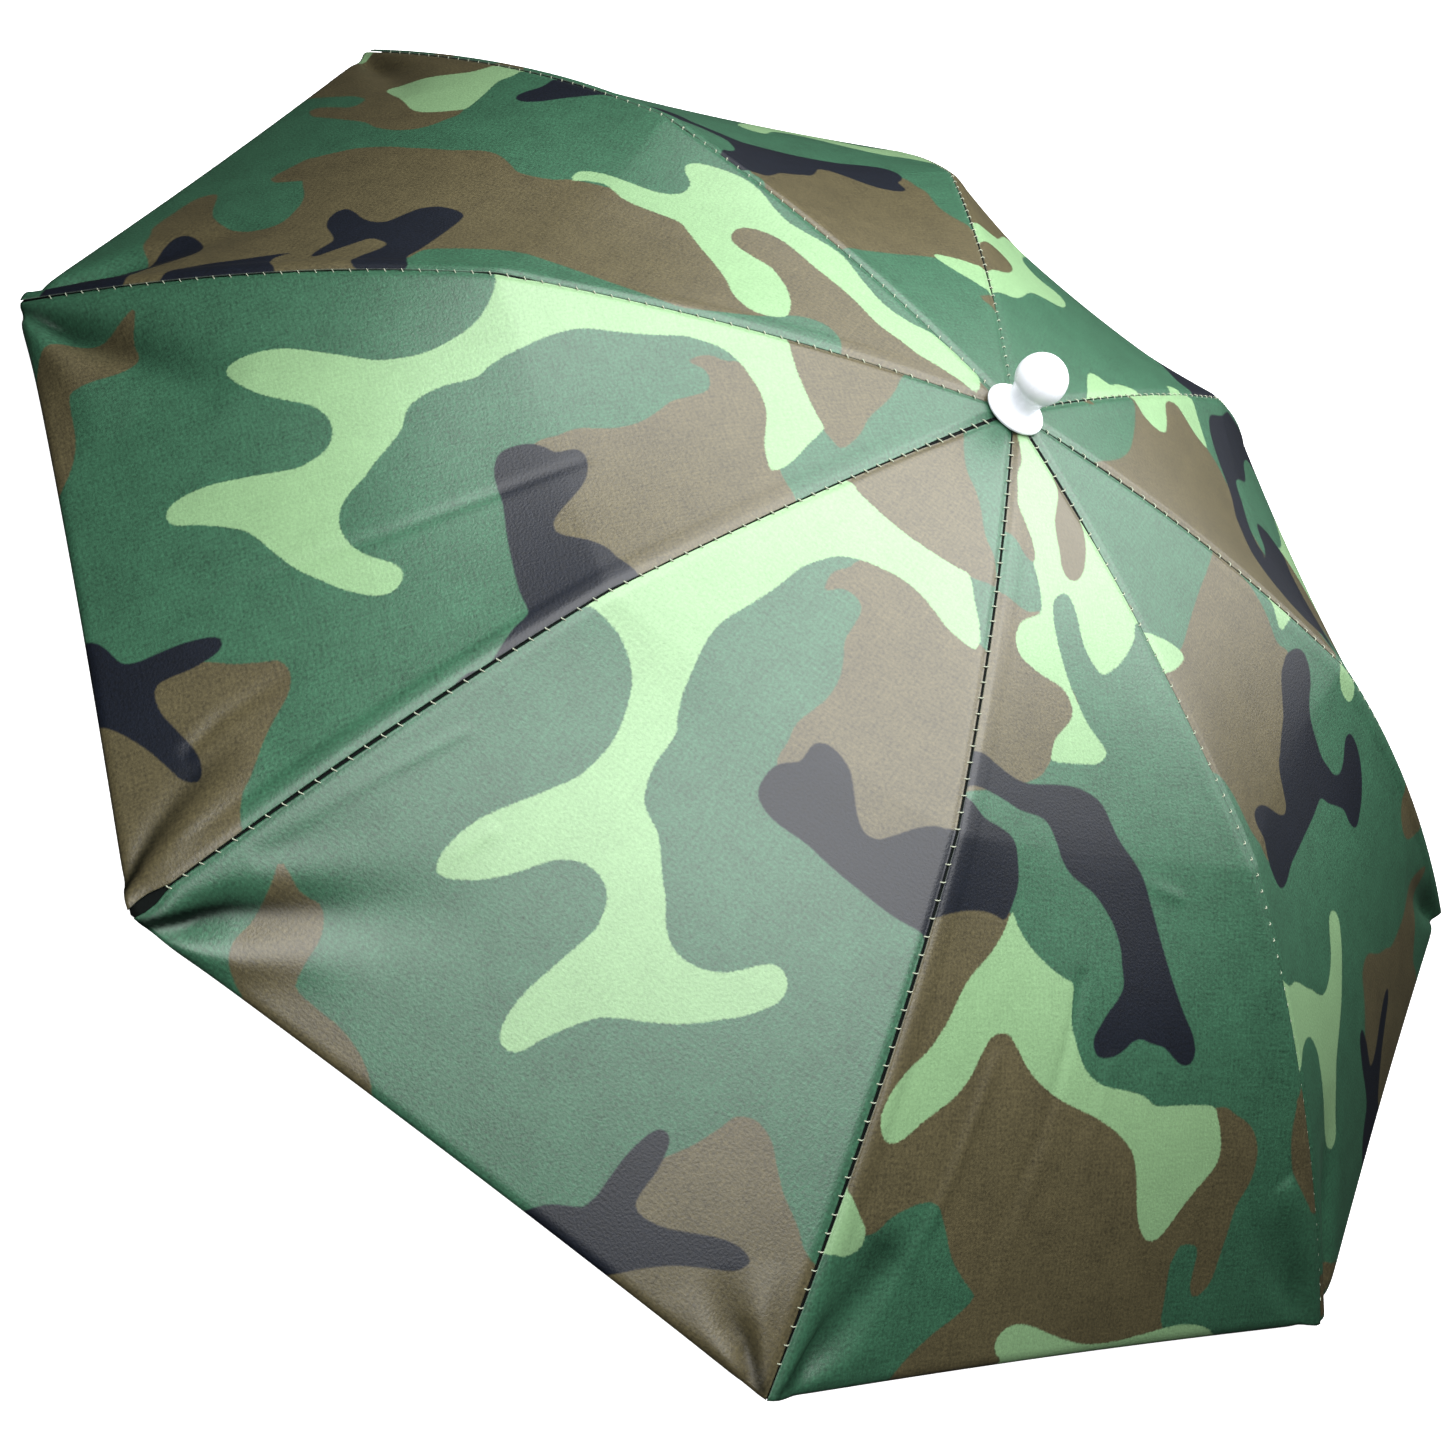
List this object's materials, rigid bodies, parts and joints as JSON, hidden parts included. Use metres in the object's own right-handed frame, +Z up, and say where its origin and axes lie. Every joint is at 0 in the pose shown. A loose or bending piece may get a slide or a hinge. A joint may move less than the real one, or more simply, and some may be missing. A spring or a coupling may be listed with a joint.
{
  "type": "umbrella hat",
  "caption": "Umbrella hat with a camouflage cloth canopy over bent steel ribs, a white round knob on the crown and an elastic head band.",
  "frame": {"origin": "on the surface that the rib ends stand on, under the middle of the hat", "axes": "+Z up through the crown; -Y is the front, over the wearer's face; +X is the right side in a view from the front"},
  "size_m": [0.6022, 0.6047, 0.1751],
  "materials": {
    "canopy_cloth": "printed plain-weave polyester with a slight sheen, in four camouflage colours",
    "white_plastic": "smooth moulded white",
    "dark_plastic": "moulded black, satin",
    "steel_wire": "drawn wire, bright",
    "elastic_band": "woven elastic, ribbed lengthwise"
  },
  "bodies": {
    "root": {"canopy_gore_1": "canopy_cloth", "canopy_gore_2": "canopy_cloth", "canopy_gore_3": "canopy_cloth", "canopy_gore_4": "canopy_cloth", "canopy_gore_5": "canopy_cloth", "canopy_gore_6": "canopy_cloth", "canopy_gore_7": "canopy_cloth", "canopy_gore_8": "canopy_cloth", "rib_1": "steel_wire", "rib_2": "steel_wire", "rib_3": "steel_wire", "rib_4": "steel_wire", "rib_5": "steel_wire", "rib_6": "steel_wire", "rib_7": "steel_wire", "rib_8": "steel_wire", "rib_foot_1": "dark_plastic", "rib_foot_2": "dark_plastic", "rib_foot_3": "dark_plastic", "rib_foot_4": "dark_plastic", "rib_foot_5": "dark_plastic", "rib_foot_6": "dark_plastic", "rib_foot_7": "dark_plastic", "rib_foot_8": "dark_plastic", "hub": "dark_plastic", "cap": "white_plastic", "head_band": "elastic_band", "band_leg_1": "steel_wire", "band_leg_2": "steel_wire", "band_leg_3": "steel_wire", "band_leg_4": "steel_wire"}
  },
  "joints": []
}
